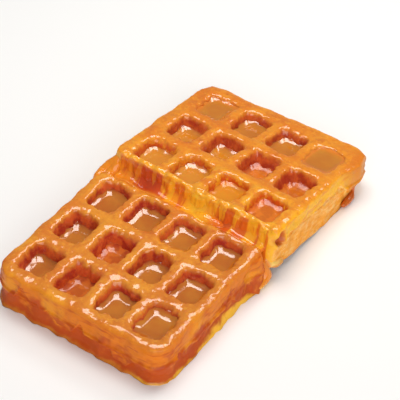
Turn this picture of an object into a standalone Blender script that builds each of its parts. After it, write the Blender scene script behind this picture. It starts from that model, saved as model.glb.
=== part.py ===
"""A deep-pocketed waffle cut across into two halves, with caramel in its pockets.

The front half lies flat. The rear half leans on it: its cut end is raised and its
far end rests on the ground. Set caramel bonds the two cut faces. Units are metres,
+Z is up, X runs across the waffle, Y along it, and the origin is the bottom centre.
"""

import math

import bmesh
import bpy
from mathutils import Euler, Matrix, Vector

MM = 0.001

# Driving dimensions of the waffle
COLUMNS = 4
ROWS_IN_HALF = 3
PITCH_ACROSS = 24.5 * MM
PITCH_ALONG = 29.5 * MM
THICKNESS = 24.0 * MM

# Pockets of the upper face
POCKET_ACROSS = 17.8 * MM
POCKET_ALONG = 21.6 * MM
POCKET_DEPTH = 11.5 * MM
POCKET_CORNER = 3.6 * MM
POCKET_DRAFT = 1.7 * MM
RIB_SHOULDER = 1.9 * MM
RIB_SHOULDER_DROP = 0.35 * MM
LIP_DROP = 1.6 * MM
CREST_WAVE = 0.5 * MM

# Pockets of the underside
UNDER_POCKET_ACROSS = 17.0 * MM
UNDER_POCKET_ALONG = 20.6 * MM
UNDER_POCKET_DEPTH = 9.0 * MM
UNDER_LIP = 1.0 * MM

# Floor of every pocket
FLOOR_FILLET = 1.4 * MM

# Sides, which taper away from a thin ledge where the two irons met
SHOULDER_OUT = 1.5 * MM
RIM_OUT = 2.8 * MM
RIM_DROP = 1.8 * MM
SIDE_OUT = 3.6 * MM
LEDGE_OUT = 4.5 * MM
LEDGE_HALF = 1.0 * MM
CORNER_RADIUS = 6.0 * MM

# How the halves lie
FRONT_YAW = math.radians(0.75)
REAR_YAW = math.radians(-0.75)
REAR_TILT = math.radians(7.0)
REAR_DISTANCE = 92.2 * MM
REAR_SHIFT = 4.0 * MM

# Depth of each caramel pool's surface below the rim, by row from the cut outwards and by column
FRONT_POOLS = (
    (7.4, 7.6, 7.0, 7.6),
    (9.8, 10.4, 9.6, 7.6),
    (9.6, 10.4, 7.6, 5.2),
)
REAR_POOLS = (
    (7.2, 7.0, 6.2, 6.2),
    (8.6, 9.8, 9.8, 9.6),
    (3.4, 7.2, 7.2, 2.0),
)
CLEARANCE = 0.3 * MM
MENISCUS = 0.7 * MM
SIZE_UNEVENNESS = 0.35 * MM

# The caramel between the cut faces
JOIN_LEFT = -30.0 * MM
JOIN_RIGHT = 50.0 * MM
JOIN_STATIONS = 16
JOIN_ROOT_DEPTH = 9.0 * MM
JOIN_CLIMB = 6.0 * MM
JOIN_LAP = 2.6 * MM

# The same places on an edge of every cell, as parts of its half length
EDGE_STEPS = (-1.0, -0.7, 0.0, 0.7)
ARC_MIDDLE = 1.0 - math.sqrt(0.5)

HALF_ACROSS = COLUMNS * PITCH_ACROSS / 2
HALF_ALONG = ROWS_IN_HALF * PITCH_ALONG / 2


def make_material(name, colour, roughness):
    """A Principled material of one colour."""
    material = bpy.data.materials.new(name)
    material.use_nodes = True
    shader = material.node_tree.nodes["Principled BSDF"]
    shader.inputs["Base Color"].default_value = (*colour, 1.0)
    shader.inputs["Roughness"].default_value = roughness
    shader.inputs["Metallic"].default_value = 0.0
    return material


def make_object(name, mesh, material, parent):
    """A named object of one closed mesh."""
    mesh.materials.append(material)
    piece = bpy.data.objects.new(name, mesh)
    bpy.context.scene.collection.objects.link(piece)
    piece.parent = parent
    mesh.shade_smooth()
    mesh.set_sharp_from_angle(angle=math.radians(35))
    return piece


def make_empty(name, parent=None):
    """An empty that carries other objects."""
    empty = bpy.data.objects.new(name, None)
    bpy.context.scene.collection.objects.link(empty)
    empty.parent = parent
    return empty


def close_mesh(name, shape, mirror=1):
    """Merges a bmesh's doubles, turns its faces outwards and gives its mesh."""
    for vertex in shape.verts:
        vertex.co.y *= mirror
    bmesh.ops.remove_doubles(shape, verts=shape.verts, dist=0.001 * MM)
    bmesh.ops.recalc_face_normals(shape, faces=shape.faces)
    mesh = bpy.data.meshes.new(name)
    shape.to_mesh(mesh)
    shape.free()
    return mesh


def uneven(row, column, salt):
    """A fixed value from -1 to 1 that differs from pocket to pocket."""
    return math.sin(12.9 * row + 78.2 * column + 37.7 * salt)


def crest_height(x, y):
    """Height of the ribs' crests, which rise and sag a little over the face."""
    wave = math.sin(210.0 * x + 0.8) * math.cos(160.0 * y - 0.5)
    return THICKNESS - CREST_WAVE * (0.5 - 0.5 * wave)


def all_round(quadrant):
    """Turns the points of one quarter of a ring into the whole ring."""
    turned = [(-x, y) for x, y in reversed(quadrant[1:])]
    half = quadrant + [(0.0, quadrant_top(quadrant))] + turned
    return half + [(-x, -y) for x, y in half]


def quadrant_top(quadrant):
    """The greatest distance along Y in a quarter of a ring."""
    return max(y for x, y in quadrant)


def cell_ring(half_x, half_y):
    """Ring on a cell's edge, whose points match those of the cells beside it."""
    step = EDGE_STEPS[-1]
    return all_round([(half_x, 0.0), (half_x, step * half_y), (half_x, half_y), (step * half_x, half_y)])


def pocket_ring(half_x, half_y, corner):
    """Rounded rectangle with as many points as a cell's edge."""
    arc = ARC_MIDDLE * corner
    return all_round([
        (half_x, 0.0),
        (half_x, half_y - corner),
        (half_x - arc, half_y - arc),
        (half_x - corner, half_y),
    ])


def add_ring(shape, ring, centre, height):
    """Adds a ring's vertices at one height, or at a height given by a function of place."""
    vertices = []
    for x, y in ring:
        place_x = centre[0] + x
        place_y = centre[1] + y
        z = height(place_x, place_y) if callable(height) else height
        vertices.append(shape.verts.new((place_x, place_y, z)))
    return vertices


def bridge(shape, first, second):
    """Joins two rings of the same number of vertices with quads."""
    count = len(first)
    for i in range(count):
        j = (i + 1) % count
        shape.faces.new((first[i], first[j], second[j], second[i]))


def stack_rings(shape, rings):
    """Bridges each ring to the next."""
    for first, second in zip(rings, rings[1:]):
        bridge(shape, first, second)


def pocket_size(row, column):
    """Half width and half length of an upper pocket's opening."""
    half_x = POCKET_ACROSS / 2 + SIZE_UNEVENNESS * uneven(row, column, 1)
    half_y = POCKET_ALONG / 2 + SIZE_UNEVENNESS * uneven(row, column, 2)
    return half_x, half_y


def cell_centre(row, column):
    """Centre of a cell; row 1 lies at the cut and column 1 on the left."""
    x = (column - (COLUMNS + 1) / 2) * PITCH_ACROSS
    y = ((ROWS_IN_HALF + 1) / 2 - row) * PITCH_ALONG
    return x, y


def add_upper_cell(shape, row, column):
    """One pocket of the upper face, with the ribs halfway round it."""
    centre = cell_centre(row, column)
    half_x, half_y = pocket_size(row, column)
    floor = THICKNESS - POCKET_DEPTH
    foot = POCKET_DRAFT
    inner = POCKET_DRAFT + FLOOR_FILLET

    def shoulder_height(x, y):
        return crest_height(x, y) - RIB_SHOULDER_DROP

    rings = [
        add_ring(shape, cell_ring(PITCH_ACROSS / 2, PITCH_ALONG / 2), centre, crest_height),
        add_ring(shape, pocket_ring(half_x + RIB_SHOULDER, half_y + RIB_SHOULDER, POCKET_CORNER + 1 * MM),
                 centre, shoulder_height),
        add_ring(shape, pocket_ring(half_x, half_y, POCKET_CORNER), centre, THICKNESS - LIP_DROP),
        add_ring(shape, pocket_ring(half_x - foot, half_y - foot, POCKET_CORNER - 0.6 * MM),
                 centre, floor + FLOOR_FILLET),
        add_ring(shape, pocket_ring(half_x - inner, half_y - inner, POCKET_CORNER - 1 * MM), centre, floor),
    ]
    stack_rings(shape, rings)
    shape.faces.new(rings[-1])


def add_under_cell(shape, row, column):
    """One pocket of the underside, between flat ribs that rest on the ground."""
    centre = cell_centre(row, column)
    half_x = UNDER_POCKET_ACROSS / 2
    half_y = UNDER_POCKET_ALONG / 2
    foot = POCKET_DRAFT
    inner = POCKET_DRAFT + FLOOR_FILLET
    rings = [
        add_ring(shape, cell_ring(PITCH_ACROSS / 2, PITCH_ALONG / 2), centre, 0.0),
        add_ring(shape, pocket_ring(half_x + UNDER_LIP, half_y + UNDER_LIP, POCKET_CORNER + UNDER_LIP),
                 centre, 0.0),
        add_ring(shape, pocket_ring(half_x, half_y, POCKET_CORNER), centre, UNDER_LIP),
        add_ring(shape, pocket_ring(half_x - foot, half_y - foot, POCKET_CORNER - 0.6 * MM),
                 centre, UNDER_POCKET_DEPTH - FLOOR_FILLET),
        add_ring(shape, pocket_ring(half_x - inner, half_y - inner, POCKET_CORNER - 1 * MM),
                 centre, UNDER_POCKET_DEPTH),
    ]
    stack_rings(shape, rings)
    shape.faces.new(rings[-1])


def edge_places(cells, pitch):
    """Places along a whole edge of the face, at the same steps in every cell."""
    start = -(cells - 1) / 2 * pitch
    return [start + cell * pitch + step * pitch / 2 for cell in range(cells) for step in EDGE_STEPS]


def face_perimeter():
    """Corner and edge points all round the face, starting at its near left corner."""
    across = edge_places(COLUMNS, PITCH_ACROSS)
    along = edge_places(ROWS_IN_HALF, PITCH_ALONG)
    near = [(x, -HALF_ALONG) for x in across]
    right = [(HALF_ACROSS, y) for y in along]
    far = [(-x, HALF_ALONG) for x in across]
    left = [(-HALF_ACROSS, -y) for y in along]
    return near + right + far + left


def pushed_out(x, y, out):
    """Moves a perimeter point outwards on the moulded sides and keeps it in the plane of the cut."""
    side = math.copysign(1.0, x)
    on_side = abs(x) > HALF_ACROSS - 0.01 * MM
    on_cut = y > HALF_ALONG - 0.01 * MM
    if out == 0.0:
        return x, y
    if on_cut:
        return (x + side * out, y) if on_side else (x, y)
    corner_x = HALF_ACROSS - CORNER_RADIUS
    corner_y = HALF_ALONG - CORNER_RADIUS
    if abs(x) > corner_x and -y > corner_y:
        away = Vector((abs(x) - corner_x, -y - corner_y)).normalized()
        reach = CORNER_RADIUS + out
        return side * (corner_x + away.x * reach), -(corner_y + away.y * reach)
    if on_side:
        return x + side * out, y
    return x, y - out


def add_sides(shape):
    """The tapering sides with the ledge at mid height, and the flat cut."""
    middle = THICKNESS / 2
    levels = (
        (0.0, crest_height),
        (SHOULDER_OUT, THICKNESS - 2 * RIB_SHOULDER_DROP),
        (RIM_OUT, THICKNESS - RIM_DROP),
        (SIDE_OUT, middle + LEDGE_HALF + 0.3 * MM),
        (LEDGE_OUT - 0.2 * MM, middle + LEDGE_HALF),
        (LEDGE_OUT, middle),
        (LEDGE_OUT - 0.2 * MM, middle - LEDGE_HALF),
        (SIDE_OUT, middle - LEDGE_HALF - 0.3 * MM),
        (RIM_OUT, RIM_DROP),
        (SHOULDER_OUT, 0.0),
        (0.0, 0.0),
    )
    perimeter = face_perimeter()
    rings = []
    for out, height in levels:
        ring = [pushed_out(x, y, out) for x, y in perimeter]
        rings.append(add_ring(shape, ring, (0.0, 0.0), height))
    stack_rings(shape, rings)


def waffle_half_mesh(name, mirror):
    """A half waffle with its cut on the far side, or on the near side if mirrored."""
    shape = bmesh.new()
    for row in range(1, ROWS_IN_HALF + 1):
        for column in range(1, COLUMNS + 1):
            add_upper_cell(shape, row, column)
            add_under_cell(shape, row, column)
    add_sides(shape)
    return close_mesh(name, shape, mirror)


def pool_mesh(name, row, column, depth, mirror):
    """Caramel from a pocket's floor up to its own level, with a low middle."""
    half_x, half_y = pocket_size(row, column)
    centre = cell_centre(row, column)
    floor = THICKNESS - POCKET_DEPTH + CLEARANCE
    surface = THICKNESS - depth
    wall_foot = THICKNESS - POCKET_DEPTH + FLOOR_FILLET
    wall_height = POCKET_DEPTH - FLOOR_FILLET - LIP_DROP

    def inset_at(height):
        """How far the pocket's wall stands in from its opening at a height."""
        if height > wall_foot:
            up_wall = min((height - wall_foot) / wall_height, 1.0)
            return POCKET_DRAFT * (1.0 - up_wall)
        down_fillet = (wall_foot - height) / FLOOR_FILLET
        return POCKET_DRAFT + FLOOR_FILLET * down_fillet

    def ring_at(height, extra=0.0):
        inset = inset_at(height) + 1.5 * CLEARANCE + extra
        ring = pocket_ring(half_x - inset, half_y - inset, POCKET_CORNER - 0.8 * MM)
        return add_ring(shape, ring, centre, height)

    shape = bmesh.new()
    heights = [floor]
    if surface > wall_foot + 0.5 * MM:
        heights.append(wall_foot)
    heights.append(surface)
    rings = [ring_at(height) for height in heights]
    sink = min(MENISCUS, 0.5 * (surface - floor))
    low = pocket_ring(half_x - 4.6 * MM, half_y - 4.6 * MM, 2.0 * MM)
    rings.append(add_ring(shape, low, centre, surface - sink))
    stack_rings(shape, rings)
    shape.faces.new(rings[0])
    shape.faces.new(rings[-1])
    return close_mesh(name, shape, mirror)


def add_half(name, mirror, pools, carrier, crust, caramel):
    """A half waffle and the caramel in its pockets, all carried by one empty."""
    half = make_object(f"waffle_half_{name}", waffle_half_mesh(f"waffle_half_{name}", mirror), crust, carrier)
    for row, depths in enumerate(pools, start=1):
        for column, depth in enumerate(depths, start=1):
            pool_name = f"caramel_{name}_{row}_{column}"
            mesh = pool_mesh(pool_name, row, column, depth * MM, mirror)
            make_object(pool_name, mesh, caramel, carrier)
    return half


def cut_line(carrier, x, height, cut_side):
    """Y of a half's cut face at a given X and height."""
    turn = carrier.matrix_basis.to_3x3()
    point = carrier.matrix_basis @ Vector((0.0, cut_side * HALF_ALONG, 0.0))
    normal = turn @ Vector((0.0, 1.0, 0.0))
    return point.y - (normal.x * (x - point.x) + normal.z * (height - point.z)) / normal.y


def join_section(x, size, front_carrier, rear_carrier):
    """Points of the set caramel's cross-section at one place across the waffle."""
    root = THICKNESS - JOIN_ROOT_DEPTH * size
    top = THICKNESS + CLEARANCE
    climb = top + JOIN_CLIMB * size
    lap = JOIN_LAP * size

    def front_at(height):
        return cut_line(front_carrier, x, height, 1) + CLEARANCE

    def rear_at(height):
        return cut_line(rear_carrier, x, height, -1) - CLEARANCE

    places = (
        (front_at(root), root),
        (rear_at(root), root),
        (rear_at(climb), climb),
        (rear_at(climb) - 1.2 * MM, climb),
        (0.45 * front_at(top) + 0.55 * rear_at(climb), top + 0.42 * (climb - top)),
        (front_at(top) - lap, top + 0.9 * MM),
        (front_at(top) - lap, top),
        (front_at(top), top),
    )
    return [Vector((x, y, z)) for y, z in places]


def add_join(front_carrier, rear_carrier, caramel, parent):
    """The uneven bead of caramel that holds the two cut faces together."""
    shape = bmesh.new()
    sections = []
    for station in range(JOIN_STATIONS + 1):
        along = station / JOIN_STATIONS
        x = JOIN_LEFT + along * (JOIN_RIGHT - JOIN_LEFT)
        swell = math.sin(math.pi * min(1.0, 0.12 + 0.95 * along) ** 0.8)
        size = 0.35 + 0.5 * swell + 0.12 * math.sin(9.0 * along + 0.6)
        points = join_section(x, size, front_carrier, rear_carrier)
        sections.append([shape.verts.new(point) for point in points])
    stack_rings(shape, sections)
    shape.faces.new(sections[0])
    shape.faces.new(sections[-1])
    return make_object("caramel_join", close_mesh("caramel_join", shape), caramel, parent)


def lowest_point(mesh, turn):
    """Lowest height of a mesh once it is turned."""
    return min((turn @ vertex.co).z for vertex in mesh.vertices)


def centre_on_ground(root, pieces):
    """Moves everything so that the origin is the bottom centre of the whole waffle."""
    bpy.context.view_layer.update()
    corners = [piece.matrix_world @ vertex.co for piece in pieces for vertex in piece.data.vertices]
    low = Vector([min(corner[axis] for corner in corners) for axis in range(3)])
    high = Vector([max(corner[axis] for corner in corners) for axis in range(3)])
    root.location = Vector((-(low.x + high.x) / 2, -(low.y + high.y) / 2, -low.z))


def main():
    for old in list(bpy.data.objects):
        bpy.data.objects.remove(old, do_unlink=True)

    crust = make_material("crust", (0.62, 0.27, 0.055), 0.45)
    caramel = make_material("caramel", (0.42, 0.15, 0.025), 0.15)

    root = make_empty("waffle_root")
    front_carrier = make_empty("front_carrier", root)
    rear_carrier = make_empty("rear_carrier", root)

    front_carrier.rotation_euler = Euler((0.0, 0.0, FRONT_YAW))
    add_half("front", 1, FRONT_POOLS, front_carrier, crust, caramel)

    rear = add_half("rear", -1, REAR_POOLS, rear_carrier, crust, caramel)
    rear_turn = Matrix.Rotation(REAR_YAW, 3, "Z") @ Matrix.Rotation(-REAR_TILT, 3, "X")
    rear_carrier.rotation_euler = rear_turn.to_euler()
    rear_carrier.location = (REAR_SHIFT, REAR_DISTANCE, -lowest_point(rear.data, rear_turn))

    add_join(front_carrier, rear_carrier, caramel, root)
    centre_on_ground(root, [piece for piece in bpy.data.objects if piece.type == "MESH"])


main()
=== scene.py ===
"""Finish of the caramel waffle: browned batter, glaze, pools, drips, light and camera."""

import math
from types import SimpleNamespace

import bpy
from mathutils import Matrix, Vector

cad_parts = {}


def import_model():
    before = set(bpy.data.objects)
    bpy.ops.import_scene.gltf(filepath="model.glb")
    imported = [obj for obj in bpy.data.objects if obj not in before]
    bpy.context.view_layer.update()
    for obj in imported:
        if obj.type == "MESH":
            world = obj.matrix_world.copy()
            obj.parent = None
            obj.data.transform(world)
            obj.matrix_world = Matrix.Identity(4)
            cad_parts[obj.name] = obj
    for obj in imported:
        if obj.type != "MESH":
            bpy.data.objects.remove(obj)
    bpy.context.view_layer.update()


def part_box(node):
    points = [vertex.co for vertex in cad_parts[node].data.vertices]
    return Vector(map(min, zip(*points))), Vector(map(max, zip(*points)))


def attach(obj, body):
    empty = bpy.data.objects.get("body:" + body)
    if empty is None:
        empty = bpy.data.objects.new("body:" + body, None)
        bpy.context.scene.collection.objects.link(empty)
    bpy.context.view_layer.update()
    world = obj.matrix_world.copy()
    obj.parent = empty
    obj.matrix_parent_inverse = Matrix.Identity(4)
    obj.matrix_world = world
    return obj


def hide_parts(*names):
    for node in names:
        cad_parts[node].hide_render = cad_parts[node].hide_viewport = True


MM = 0.001

# The waffle's sizes, as its solids have them
COLUMNS = 4
ROWS = 3
PITCH_ACROSS = 24.5 * MM
PITCH_ALONG = 29.5 * MM
THICKNESS = 24.0 * MM
POCKET_DEPTH = 11.5 * MM
UNDER_DEPTH = 9.0 * MM
CORNER_RADIUS = 6.0 * MM
LEDGE_OUT = 4.5 * MM
SHOULDER_OUT = 1.5 * MM
POOL_LAP = 1.8 * MM
WOBBLE = 1.5 * MM
FRINGE = 1.5 * MM
GLAZE_THICK = 0.9 * MM
RUN_RELIEF = 1.0 * MM
HALF_ALONG = ROWS * PITCH_ALONG / 2

# Slow waves in the batter and in the pools, in millimetres, and how far apart the halves lie in them
SLOW_WAVE = 13
NOISE_SHIFT = 0.31

# How the halves lie
FRONT_YAW = math.radians(0.75)
REAR_YAW = math.radians(-0.75)
REAR_TILT = math.radians(7.0)
REAR_STEP = Vector((4.0 * MM, 92.2 * MM))

# How each half differs: how far down its sides the glaze reaches, as a part of the thickness, and how
# unevenly, its foot and lobes, its brink at the cut, and its tilt
HALF_FORMS = {
    "front": {"Glaze Reach": 0.60, "Reach Spread": 0.45, "Foot": 5.9 * MM, "Lobe": 3.0 * MM,
              "Brink": 0.5 * MM, "Cut Round": 2.4 * MM},
    "rear": {"Glaze Reach": 0.38, "Reach Spread": 0.14, "Foot": 3.6 * MM, "Gap Depth": 2.6 * MM,
             "Brink": 1.7 * MM, "Cut Round": 3.2 * MM, "Corner Lobe": 5.0 * MM, "Sag": 4.0 * MM,
             "Tilt": REAR_TILT},
}

# Depth of each pool below the rim in millimetres, by row from the cut outwards and by column
FRONT_POOLS = (
    (7.4, 7.6, 7.0, 7.6),
    (9.8, 10.4, 9.6, 7.6),
    (9.6, 10.4, 7.6, 5.2),
)
REAR_POOLS = (
    (7.2, 7.0, 6.2, 6.2),
    (8.6, 9.8, 9.8, 9.6),
    (3.4, 7.2, 7.2, 2.0),
)

# Deep pockets whose floor is as red-brown as their walls, by row and column
RED_POCKETS = {"front": ((2, 2), (3, 2)), "rear": ((1, 4), (2, 3), (2, 4))}

# Fineness of the meshes
STEPS_IN_CELL = 42
SIDE_LEVELS = 44
POOL_STEPS = 25
POOL_LEVELS = 5
JOIN_STEPS = 240
JOIN_ROWS = 26
JOIN_LEVELS = 3
DRIP_STEPS = 14
DRIP_VOXEL = 0.45 * MM

# A point of a block one unit wide lies on a face of it when it is further out than this
FACE = 0.4999

# Camera, fitted to the pockets' places in a frame 400 pixels wide
CAMERA_LENS_PIXELS = 1488.0
FRAME_PIXELS = 400.0
SENSOR_MM = 36.0
CAMERA_AZIMUTH = math.radians(33.31)
CAMERA_HEIGHT = math.radians(43.06)
CAMERA_ROLL = math.radians(2.55)
CAMERA_DISTANCE = 0.8412
CAMERA_TARGET = Vector((-0.0116, 0.0304, 0.0))

# Columns of the tables below, after the place that a row belongs to
WIDE = 1
DEEP = 2

# A pocket from its centre to the middle of the ribs round it: how wide its ring is there, as a part of
# the cell, how deep below the crest, and how round its corners are
UPPER_RING = ((0.0, 0.0, 1.0), (0.22, 0.44, 0.995), (0.32, 0.545, 0.94), (0.42, 0.595, 0.82),
              (0.62, 0.67, 0.36), (0.74, 0.725, 0.14), (0.84, 0.79, 0.045), (0.93, 0.89, 0.008),
              (1.0, 1.0, 0.0))
UNDER_RING = ((0.0, 0.0, 1.0), (0.22, 0.40, 0.995), (0.32, 0.505, 0.93), (0.42, 0.57, 0.80),
              (0.66, 0.66, 0.22), (0.78, 0.71, 0.05), (0.86, 0.76, 0.0), (0.93, 0.87, 0.0), (1.0, 1.0, 0.0))
CORNER_ROUND = ((0.0, 0.0), (0.22, 0.16), (0.42, 0.24), (0.74, 0.32), (0.86, 0.34), (1.0, 0.0))

# A side from the crest to the ground: how far out it stands, and how far down it is
SIDE_LINE = ((0.0, 0.0, 0.0), (0.07, 0.36, 0.015), (0.14, 0.60, 0.06), (0.22, 0.70, 0.14),
             (0.40, 0.78, 0.40), (0.455, 0.84, 0.455), (0.48, 0.97, 0.47), (0.5, 1.0, 0.5),
             (0.52, 0.97, 0.53), (0.545, 0.84, 0.545), (0.60, 0.78, 0.60), (0.78, 0.70, 0.86),
             (0.88, 0.58, 0.965), (0.95, 0.34, 1.0), (1.0, 0.0, 1.0))

# Pools: their round corners, how far they reach below a pocket's floor, and how their surface rises
# towards the wall and on into it
POOL_CORNER = 4.4 * MM
POOL_BELOW = 0.4 * MM
MENISCUS_WIDTH = 5.0 * MM
MENISCUS_RISE = ((0.0, 0.0), (0.18, 0.05), (0.38, 0.20), (0.62, 0.44), (0.80, 0.66), (1.0, 1.0))

# How far the glaze at the foot of a side spreads, down the lower part of the side
FOOT_SPREAD = ((0.0, 0.0), (0.60, 0.0), (0.74, 0.10), (0.86, 0.34), (0.94, 0.68), (1.0, 1.0))

# Colours along the cut, from the left side of the waffle to the right, over a width in millimetres
CUT_WIDTH = 104
CUT_TONES = (
    (0.02, (0.90, 0.34, 0.020)),
    (0.09, (0.80, 0.210, 0.014)),
    (0.18, (0.56, 0.060, 0.014)),
    (0.32, (0.60, 0.070, 0.014)),
    (0.37, (0.90, 0.280, 0.014)),
    (0.48, (0.93, 0.340, 0.014)),
    (0.54, (1.00, 0.500, 0.024)),
    (0.62, (0.93, 0.360, 0.016)),
    (0.69, (0.64, 0.085, 0.014)),
    (0.80, (0.78, 0.170, 0.014)),
    (0.90, (0.93, 0.330, 0.016)),
    (1.00, (0.95, 0.480, 0.022)),
)

# The caramel that has set in the cut: how far it reaches, and its size along the cut
JOIN_LEFT = -49.5 * MM
JOIN_RIGHT = 50 * MM
JOIN_ROOT_DEPTH = 9.0 * MM
JOIN_CLIMB = 6.0 * MM
JOIN_LAP = 2.6 * MM
JOIN_SIZE = ((0.0, 0.40), (0.15, 0.34), (0.30, 0.62), (0.46, 1.0), (0.62, 0.95), (0.74, 0.52), (0.90, 0.62),
             (1.0, 0.30))

# Thick drips of glaze: places along each in millimetres, with the radius there
DRIPS = {
    "under_edge": ((50.6, 1.6, 13.4, 1.8), (52.4, 2.6, 10.6, 2.3),
                   (54.4, 6.0, 9.2, 2.3), (55.0, 9.5, 8.6, 1.9)),
    "far_string": ((55.0, 86.5, 11.0, 1.0), (55.6, 86.0, 7.0, 0.7), (56.0, 84.5, 4.0, 1.0),
                   (56.6, 82.0, 2.5, 2.0), (56.7, 78.0, 2.3, 2.1), (56.4, 74.0, 1.8, 1.5)),
    "cut_corner": ((50.0, -1.0, 12.5, 2.2), (51.0, -0.5, 8.5, 3.2), (52.0, -0.5, 4.6, 3.9),
                   (52.8, -3.0, 3.3, 3.1), (53.0, -8.0, 2.4, 2.2)),
    "bead_lump": ((8.5, 0.0, 20.4, 4.2), (12.0, 0.6, 20.2, 5.0),
                  (16.5, 1.0, 20.0, 5.0), (20.5, 1.0, 20.0, 4.2)),
    "left_web": ((-53.5, -12.0, 21.0, 1.6), (-55.4, -6.0, 20.5, 2.8), (-55.8, -1.0, 20.5, 3.2),
                 (-54.0, 3.5, 23.0, 3.4), (-50.4, 6.5, 28.0, 2.6)),
    "web_inside": ((-51.0, -5.5, 21.2, 2.2), (-51.2, -1.5, 20.6, 3.2),
                   (-50.8, 1.5, 22.0, 3.2), (-49.6, 4.0, 26.0, 2.0)),
}

# What the shaders of all the glazed surfaces share
GLAZED = {
    "Coat Roughness": 0.05,
    "Coat IOR": 1.6,
    "Specular IOR Level": 0.0,
    "Subsurface Weight": 0.15,
    "Subsurface Radius": (1.0, 0.35, 0.08),
    "Subsurface Scale": 2.0 * MM,
}

# Soft lamps: place, the spot each points at, width, height, power and colour
LAMPS = {
    "overhead": ((-0.10, 0.16, 0.75), (0.0, 0.02, 0.0), 0.46, 0.34, 3.6, (1.0, 0.98, 0.95)),
    "rear_strip": ((0.12, 0.62, 0.75), (0.0, 0.0, 0.0), 0.36, 0.24, 2.0, (1.0, 0.98, 0.95)),
    "fill": ((0.95, -1.0, 0.6), (0.0, 0.0, 0.0), 1.6, 1.6, 17.6, (1.0, 0.99, 0.97)),
}
SURROUND_STRENGTH = 0.20
FLOOR_REACH = 4.0
FLOOR_COLOUR = (0.91, 0.91, 0.905, 1.0)

# Kinds of a tree's inputs, by the type of their first value
SOCKET_KINDS = {
    int: "NodeSocketInt",
    float: "NodeSocketFloat",
    tuple: "NodeSocketVector",
    type(None): "NodeSocketMaterial",
}
PLACED = {"Place": (0.0, 0.0, 0.0), "Turn": (0.0, 0.0, 0.0), "Material": None}


class Wire:
    """An output socket of a node tree, on which Python's operators add Math nodes."""

    def __init__(self, tree, socket):
        self.tree = tree
        self.socket = socket

    @staticmethod
    def node(tree, kind, settings=None, inputs=None):
        """Adds any node: its settings first, then the values or links of its sockets."""
        made = tree.nodes.new(kind)
        for name, value in (settings or {}).items():
            if name == "stops":
                Wire.set_stops(made.color_ramp, value)
            elif name == "points":
                Wire.set_points(made.mapping, value)
            else:
                setattr(made, name, value)
        Wire.fill(made, inputs or {})
        return made

    @staticmethod
    def fill(node, inputs):
        """Sets or links a node's sockets."""
        for name, value in inputs.items():
            if isinstance(value, Wire):
                value.tree.links.new(value.socket, node.inputs[name])
            else:
                node.inputs[name].default_value = value

    @staticmethod
    def set_stops(ramp, stops):
        """Gives a colour ramp its stops."""
        while len(ramp.elements) < len(stops):
            ramp.elements.new(0.5)
        for element, (place, colour) in zip(ramp.elements, stops):
            element.position = place
            element.color = (*colour, 1.0)

    @staticmethod
    def set_points(mapping, points):
        """Gives a curve its points."""
        curve = mapping.curves[0]
        while len(curve.points) < len(points):
            curve.points.new(0.5, 0.5)
        for point, place in zip(curve.points, points):
            point.location = place
            point.handle_type = "AUTO_CLAMPED"
        mapping.update()

    @classmethod
    def of(cls, tree, kind, settings=None, inputs=None, output=0):
        """Adds any node and gives one of its outputs."""
        return cls(tree, cls.node(tree, kind, settings, inputs).outputs[output])

    def maths(self, operation, *values):
        """Adds a Math node on this value."""
        inputs = dict(enumerate((self, *values)))
        return Wire.of(self.tree, "ShaderNodeMath", {"operation": operation}, inputs)

    def __add__(self, other):
        return self.maths("ADD", other)

    def __sub__(self, other):
        return self.maths("SUBTRACT", other)

    def __mul__(self, other):
        return self.maths("MULTIPLY", other)

    def __truediv__(self, other):
        return self.maths("DIVIDE", other)

    def __neg__(self):
        return self.maths("MULTIPLY", -1.0)

    __radd__ = __add__
    __rmul__ = __mul__

    def __rsub__(self, other):
        return (-self) + other

    def __abs__(self):
        return self.maths("ABSOLUTE")

    def least(self, other):
        """The smaller of two values."""
        return self.maths("MINIMUM", other)

    def most(self, other):
        """The larger of two values."""
        return self.maths("MAXIMUM", other)

    def above(self, other):
        """1 where this value is above another, 0 elsewhere."""
        return self.maths("GREATER_THAN", other)

    def within(self, limit):
        """This value, kept between minus and plus a limit."""
        return self.least(limit).most(-1.0 * limit)

    def rise(self, low, high):
        """Rises smoothly from 0 to 1 between two values."""
        inputs = {"Value": self, "From Min": low, "From Max": high}
        return Wire.of(self.tree, "ShaderNodeMapRange", {"interpolation_type": "SMOOTHSTEP"}, inputs)

    def fall(self, low, high):
        """Falls smoothly from 1 to 0 between two values."""
        return 1.0 - self.rise(low, high)

    def band(self, low, start, end, high):
        """Rises from 0 to 1 between the first two values, and falls between the last two."""
        return self.rise(low, start) * self.fall(end, high)

    def curve(self, table, column=WIDE):
        """Reads a smooth curve through a column of a table at this value."""
        points = [(row[0], row[column]) for row in table]
        inputs = {"Factor": 1.0, "Value": self}
        return Wire.of(self.tree, "ShaderNodeFloatCurve", {"points": points}, inputs)

    def choose(self, low, high):
        """One value where this is 0, another where it is 1."""
        return low + (high - low) * self


def length_of(x, y):
    """Length of a flat vector."""
    return (x * x + y * y).maths("SQRT")


def join_parts(tree, x, y, z):
    """A vector from its three parts."""
    return Wire.of(tree, "ShaderNodeCombineXYZ", None, {"X": x, "Y": y, "Z": z})


def parts_of(vector):
    """The three parts of a vector."""
    split = Wire.node(vector.tree, "ShaderNodeSeparateXYZ", inputs={"Vector": vector})
    return [Wire(vector.tree, split.outputs[axis]) for axis in "XYZ"]


def cloud(vector, size, detail=2.0, rough=0.5, output="Fac"):
    """Noise whose lumps have about a given size in millimetres."""
    inputs = {"Vector": vector, "Scale": 1.0 / (size * MM), "Detail": detail, "Roughness": rough}
    return Wire.of(vector.tree, "ShaderNodeTexNoise", {"noise_dimensions": "3D"}, inputs, output)


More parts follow.
